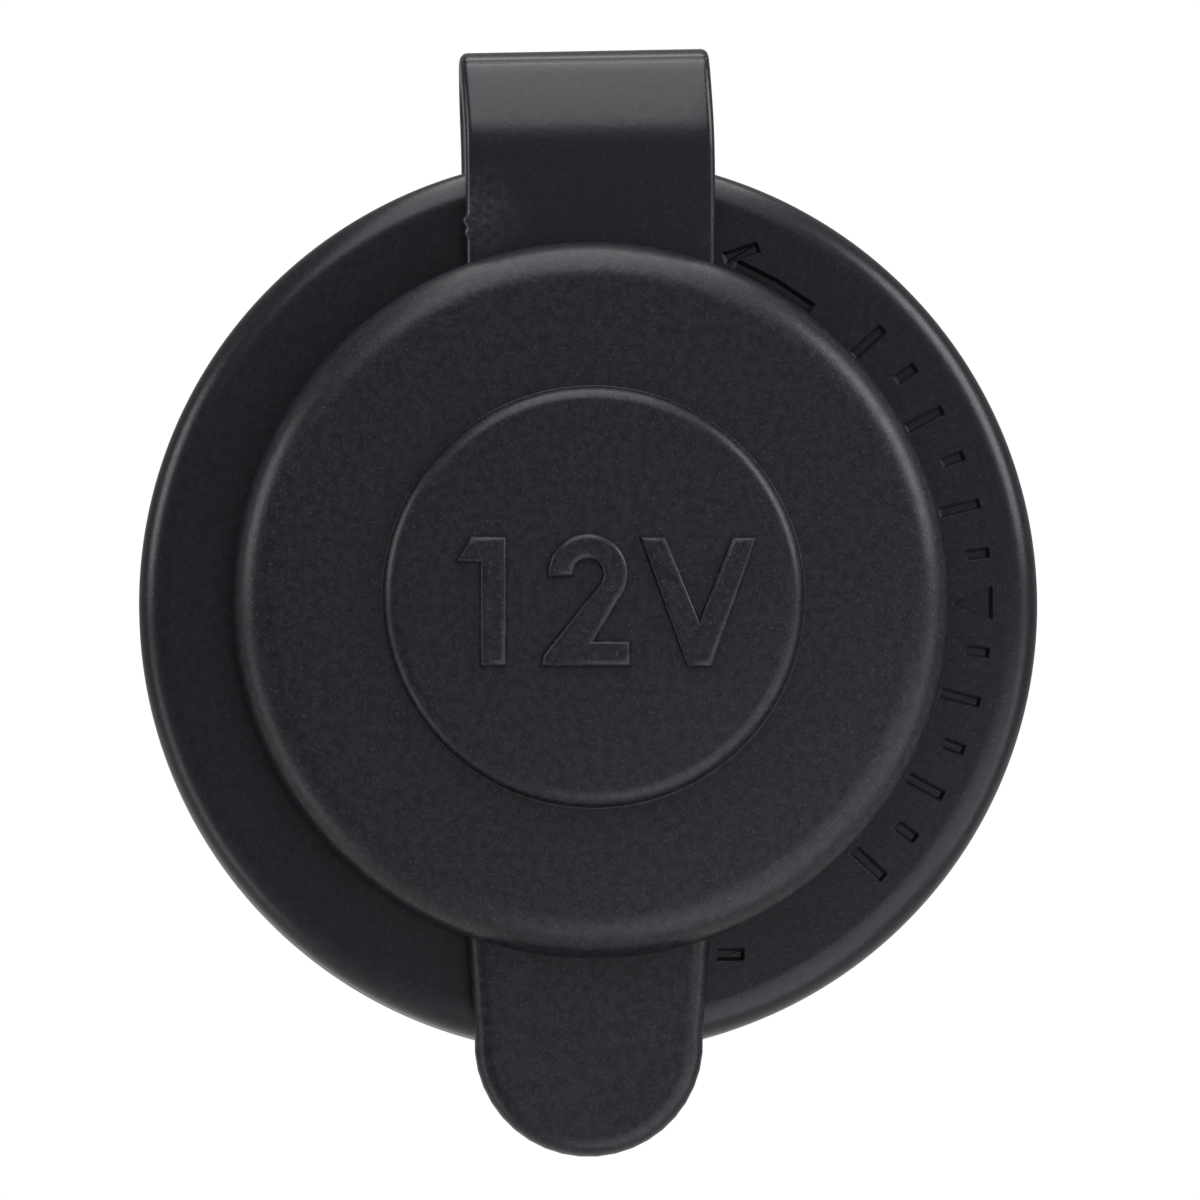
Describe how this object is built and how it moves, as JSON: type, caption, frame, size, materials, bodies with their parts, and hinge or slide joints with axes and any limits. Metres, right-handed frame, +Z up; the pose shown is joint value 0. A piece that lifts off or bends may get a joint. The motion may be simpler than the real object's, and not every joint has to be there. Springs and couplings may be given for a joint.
{
  "type": "car accessory power socket",
  "caption": "Round panel-mounted vehicle power socket with a soft hinged cap, a threaded barrel, a ring nut and rear spade terminals.",
  "frame": {"origin": "on the plug bore's axis, in the plane of the panel's front face, which is the rear face of the cap's ring", "axes": "-Y out of the mouth towards the user, +Y to the terminals behind the panel, +Z up towards the strap's fold, +X to the user's right"},
  "size_m": [0.045, 0.0629, 0.0554],
  "materials": {
    "body_plastic": "moulded black plastic with a fine spark-eroded grain",
    "cap_rubber": "moulded black thermoplastic rubber with a fine grain",
    "nickel_plate": "drawn steel, bright nickel plate",
    "insulator_nylon": "natural moulded nylon",
    "contact_brass": "stamped brass",
    "washer_steel": "stamped steel, zinc plate",
    "nut_plastic": "moulded black nylon"
  },
  "bodies": {
    "socket": {"socket_body": "body_plastic", "contact_sleeve": "nickel_plate", "contact_insulator": "insulator_nylon", "center_contact": "contact_brass", "center_rivet": "contact_brass", "positive_terminal": "contact_brass", "negative_terminal": "contact_brass", "negative_rivet": "nickel_plate", "sleeve_rivets": "nickel_plate", "cap_ring": "cap_rubber", "cap_strap": "cap_rubber"},
    "lid": {"cap_lid": "cap_rubber"},
    "washer": {"clamp_washer": "washer_steel"},
    "nut": {"lock_nut": "nut_plastic"}
  },
  "joints": [
    {"name": "lid_hinge", "type": "hinge", "parent": "socket", "child": "lid", "pos_m": [0, -0.0034, 0.0243], "axis": [-1, 0, 0], "range_deg": [0, 150], "deforming": ["cap_strap"]},
    {"name": "washer_slide", "type": "slide", "parent": "socket", "child": "washer", "axis": [0, 1, 0], "range_m": [-0.0064, 0.0355]},
    {"name": "nut_spin", "type": "hinge", "parent": "washer", "child": "nut", "pos_m": [0, 0.0097, 0], "axis": [0, 1, 0], "continuous": true}
  ],
  "couplings": [
    {"joint": "nut_spin", "follows": "washer_slide", "rad_per_m": 2513.3}
  ]
}
